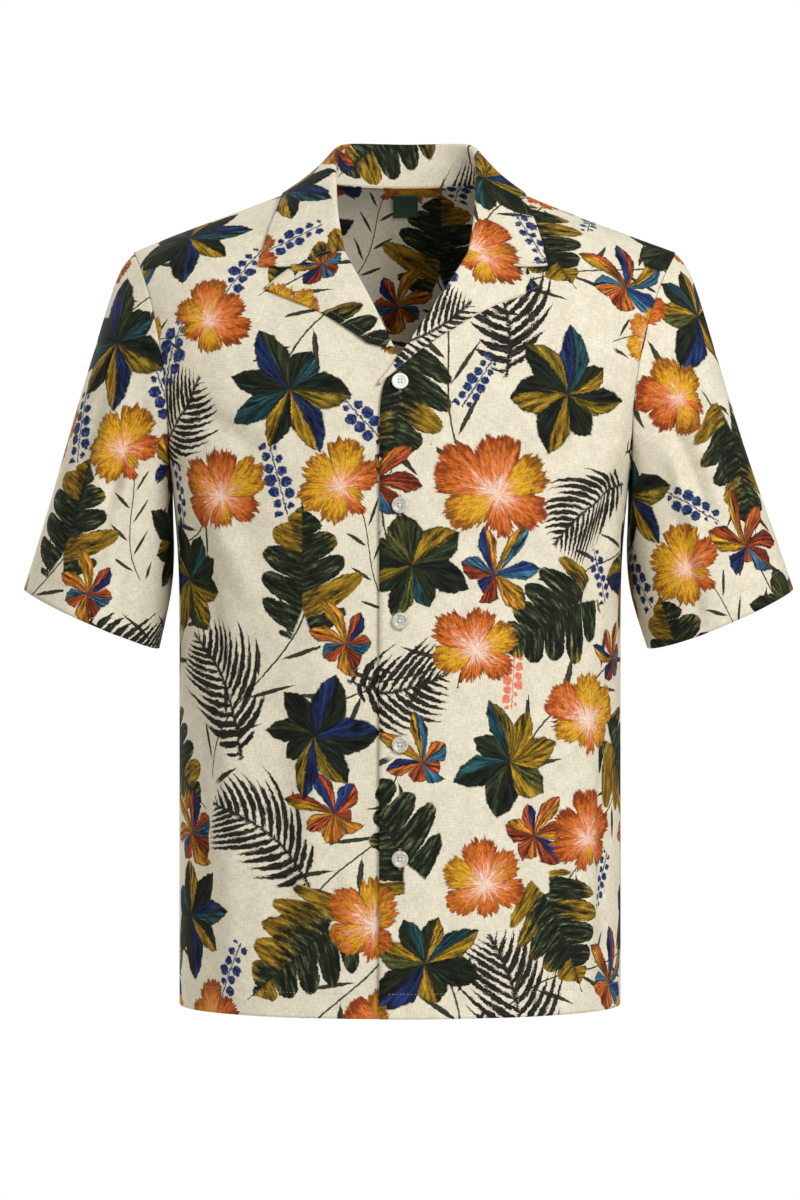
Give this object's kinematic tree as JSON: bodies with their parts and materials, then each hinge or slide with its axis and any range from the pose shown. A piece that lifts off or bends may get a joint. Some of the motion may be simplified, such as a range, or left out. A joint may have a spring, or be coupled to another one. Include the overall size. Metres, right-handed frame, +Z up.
{
  "type": "hawaiian shirt",
  "caption": "Short-sleeved shirt with a camp collar and a tropical print, buttoned and filled out as if worn, hollow inside.",
  "frame": {"origin": "middle of the neck's base, level with the shoulder seams, where the shirt hangs on the wearer's shoulders", "axes": "+Z up, the front faces -Y, the wearer's left is +X"},
  "size_m": [0.6668, 0.2903, 0.7544],
  "materials": {
    "cloth": "soft plain-woven cloth with a printed pattern",
    "pearl": "pearly white, polished",
    "label": "plain dark green woven tab"
  },
  "bodies": {
    "root": {"front_left": "cloth", "front_right": "cloth", "facing_left": "cloth", "facing_right": "cloth", "yoke": "cloth", "back": "cloth", "sleeve_left": "cloth", "sleeve_right": "cloth", "collar": "cloth", "button_1": "pearl", "button_2": "pearl", "button_3": "pearl", "button_4": "pearl", "button_5": "pearl", "label": "label"}
  },
  "joints": []
}
